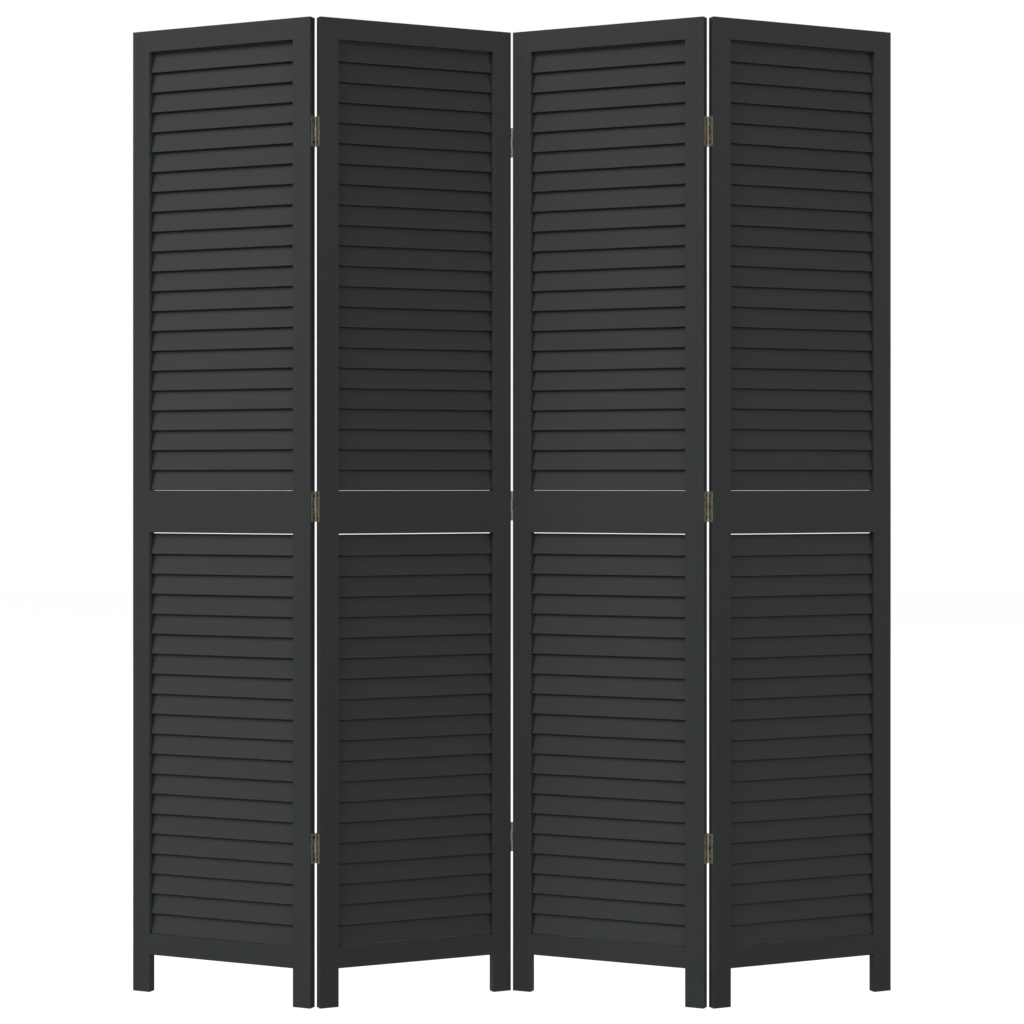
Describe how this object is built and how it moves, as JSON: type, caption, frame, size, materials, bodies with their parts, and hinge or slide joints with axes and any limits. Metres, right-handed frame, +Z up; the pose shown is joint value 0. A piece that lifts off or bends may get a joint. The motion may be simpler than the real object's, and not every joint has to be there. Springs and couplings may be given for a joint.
{
  "type": "folding screen",
  "caption": "Free-standing folding room divider: louvred wooden panels on legs, hinged edge to edge, that stand in a zigzag, open out flat or fold into a stack.",
  "frame": {"origin": "on the floor, at the centre of the standing screen's footprint, under the far fold", "axes": "+X to the right seen from the front, +Y to the back, +Z up; the front faces -Y"},
  "size_m": [1.313, 0.1572, 1.66],
  "materials": {
    "frame_paint": "satin charcoal paint",
    "slat_paint": "satin charcoal paint",
    "hinge_brass": "antique brass",
    "pin_steel": "dulled",
    "screw_steel": "dark bronze"
  },
  "bodies": {
    "panel_1": {"panel_1_left_stile": "frame_paint", "panel_1_right_stile": "frame_paint", "panel_1_top_rail": "frame_paint", "panel_1_middle_rail": "frame_paint", "panel_1_bottom_rail": "frame_paint", "panel_1_upper_slats": "slat_paint", "panel_1_lower_slats": "slat_paint", "panel_1_hinge_screws": "screw_steel", "fold_1_top_left_leaf": "hinge_brass", "fold_1_middle_left_leaf": "hinge_brass", "fold_1_bottom_left_leaf": "hinge_brass", "fold_1_top_pin": "pin_steel", "fold_1_middle_pin": "pin_steel", "fold_1_bottom_pin": "pin_steel"},
    "panel_2": {"panel_2_left_stile": "frame_paint", "panel_2_right_stile": "frame_paint", "panel_2_top_rail": "frame_paint", "panel_2_middle_rail": "frame_paint", "panel_2_bottom_rail": "frame_paint", "panel_2_upper_slats": "slat_paint", "panel_2_lower_slats": "slat_paint", "panel_2_hinge_screws": "screw_steel", "fold_1_top_right_leaf": "hinge_brass", "fold_1_middle_right_leaf": "hinge_brass", "fold_1_bottom_right_leaf": "hinge_brass", "fold_2_top_left_leaf": "hinge_brass", "fold_2_middle_left_leaf": "hinge_brass", "fold_2_bottom_left_leaf": "hinge_brass", "fold_2_top_pin": "pin_steel", "fold_2_middle_pin": "pin_steel", "fold_2_bottom_pin": "pin_steel"},
    "panel_3": {"panel_3_left_stile": "frame_paint", "panel_3_right_stile": "frame_paint", "panel_3_top_rail": "frame_paint", "panel_3_middle_rail": "frame_paint", "panel_3_bottom_rail": "frame_paint", "panel_3_upper_slats": "slat_paint", "panel_3_lower_slats": "slat_paint", "panel_3_hinge_screws": "screw_steel", "fold_2_top_right_leaf": "hinge_brass", "fold_2_middle_right_leaf": "hinge_brass", "fold_2_bottom_right_leaf": "hinge_brass", "fold_3_top_left_leaf": "hinge_brass", "fold_3_middle_left_leaf": "hinge_brass", "fold_3_bottom_left_leaf": "hinge_brass", "fold_3_top_pin": "pin_steel", "fold_3_middle_pin": "pin_steel", "fold_3_bottom_pin": "pin_steel"},
    "panel_4": {"panel_4_left_stile": "frame_paint", "panel_4_right_stile": "frame_paint", "panel_4_top_rail": "frame_paint", "panel_4_middle_rail": "frame_paint", "panel_4_bottom_rail": "frame_paint", "panel_4_upper_slats": "slat_paint", "panel_4_lower_slats": "slat_paint", "panel_4_hinge_screws": "screw_steel", "fold_3_top_right_leaf": "hinge_brass", "fold_3_middle_right_leaf": "hinge_brass", "fold_3_bottom_right_leaf": "hinge_brass"}
  },
  "joints": [
    {"name": "fold_1", "type": "hinge", "parent": "panel_2", "child": "panel_1", "pos_m": [-0.32911, -0.06463, 0.83], "axis": [0, 0, -1], "range_deg": [-48.2, 131.8]},
    {"name": "fold_2", "type": "hinge", "parent": "panel_2", "child": "panel_3", "pos_m": [0, 0.06463, 0.83], "axis": [0, 0, -1], "range_deg": [-48.2, 131.8]},
    {"name": "fold_3", "type": "hinge", "parent": "panel_3", "child": "panel_4", "pos_m": [0.32911, -0.06463, 0.83], "axis": [0, 0, 1], "range_deg": [-48.2, 131.8]}
  ]
}
